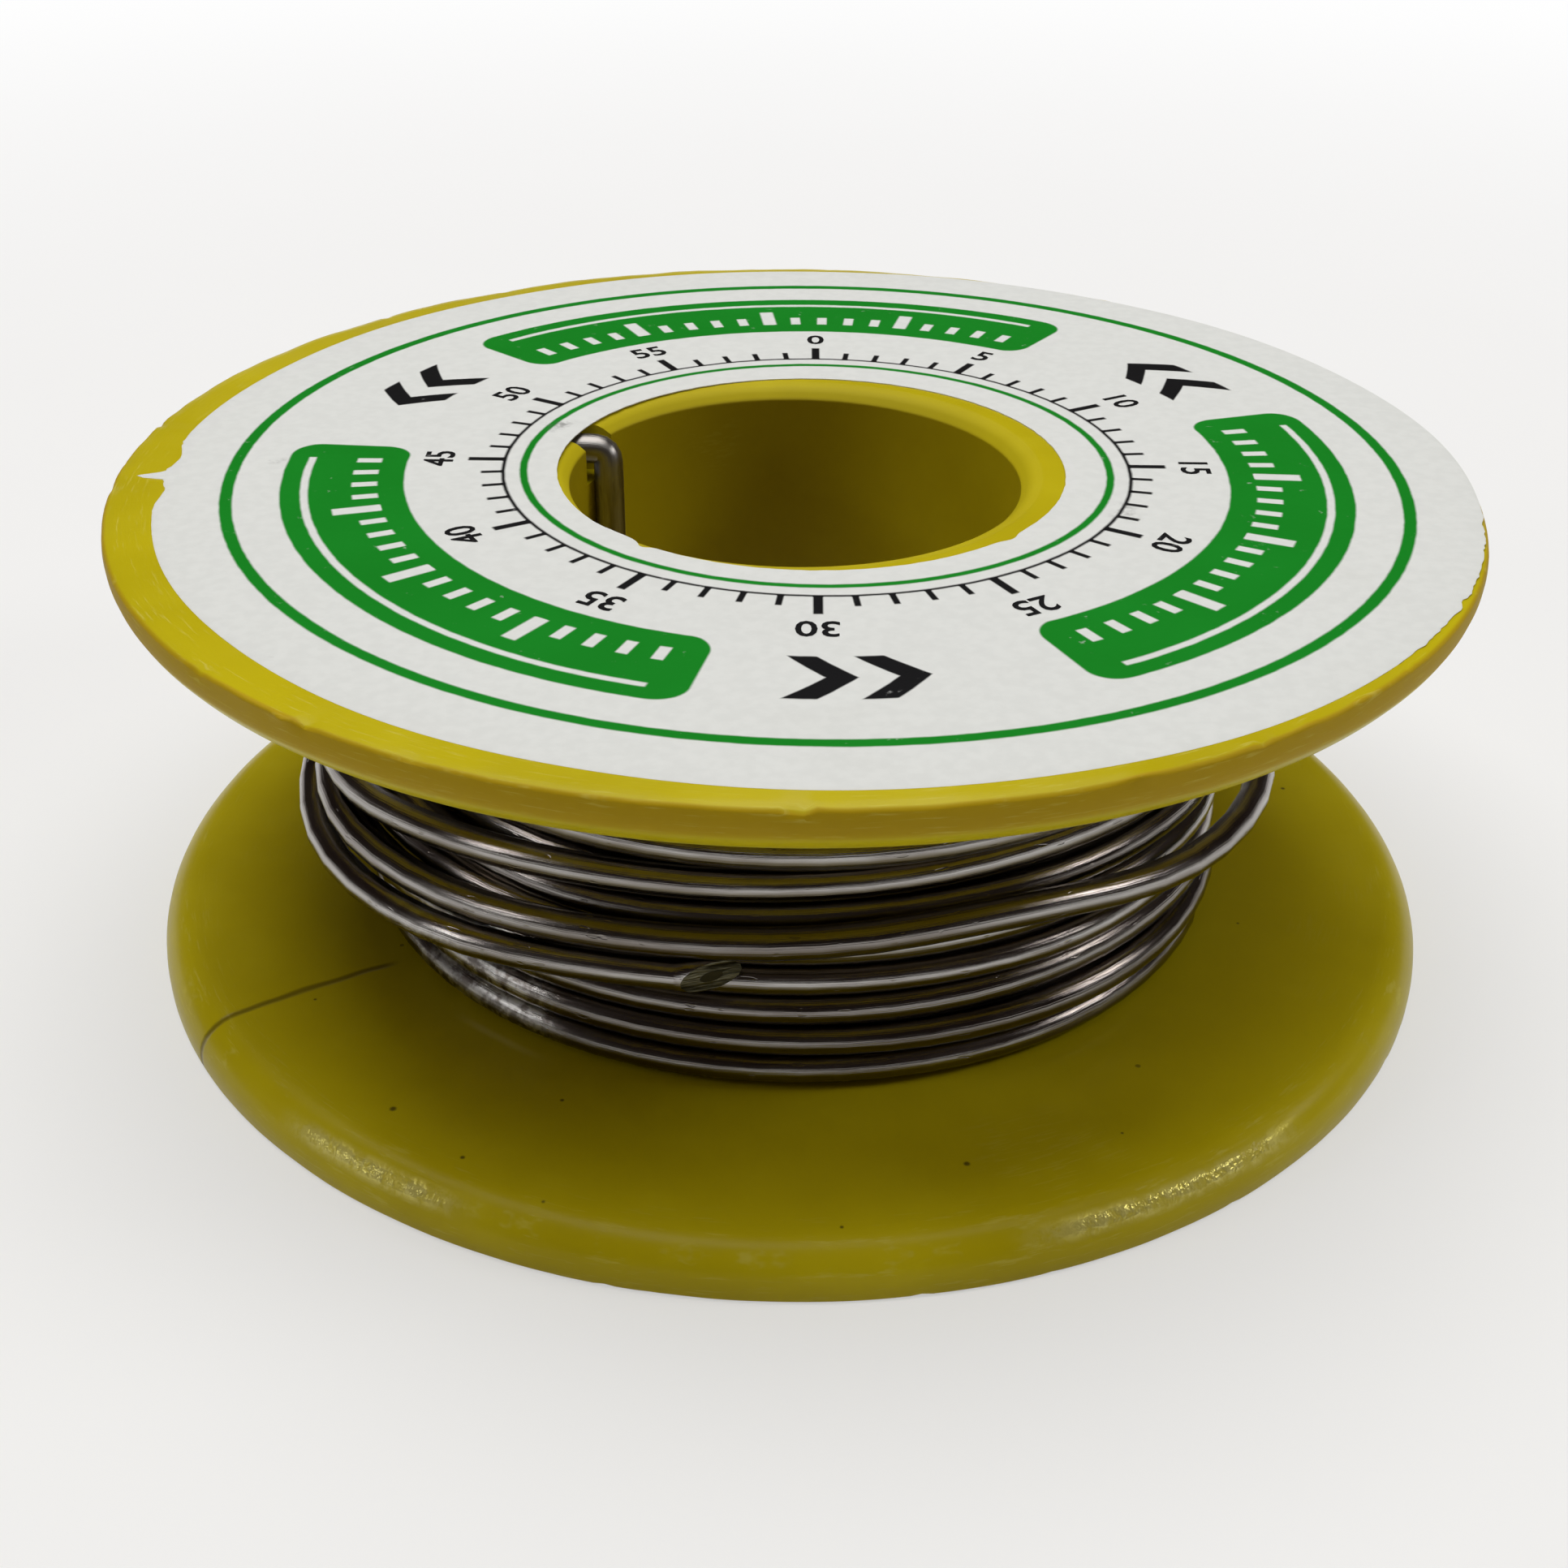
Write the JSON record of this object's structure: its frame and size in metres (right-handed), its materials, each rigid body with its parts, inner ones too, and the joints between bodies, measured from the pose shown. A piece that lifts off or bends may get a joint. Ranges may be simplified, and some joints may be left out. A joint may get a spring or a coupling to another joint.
{
  "type": "solder wire spool",
  "caption": "Small flanged plastic reel of flux-cored solder wire with a through bore, an anchor slot for the wire's start and a paper ring label.",
  "frame": {"origin": "centre of the lower flange's outer face, on the bore's axis", "axes": "+Z along the bore, from the bare lower flange to the labelled upper flange; -Y faces the viewer, where the wire's free end lies"},
  "size_m": [0.044, 0.044, 0.0161],
  "materials": {
    "spool_plastic": "yellow moulded polystyrene, satin to gloss",
    "label_paper": "coated paper label with green print",
    "solder_alloy": "drawn tin-lead wire, bright with faint draw lines",
    "flux": "amber rosin"
  },
  "bodies": {
    "root": {"spool_body": "spool_plastic", "face_label": "label_paper", "solder_winding": "solder_alloy", "solder_start_tail": "solder_alloy", "solder_loose_turns": "solder_alloy", "solder_free_end": "solder_alloy", "flux_core_start": "flux", "flux_core_loose": "flux", "flux_core_end": "flux"}
  },
  "joints": []
}
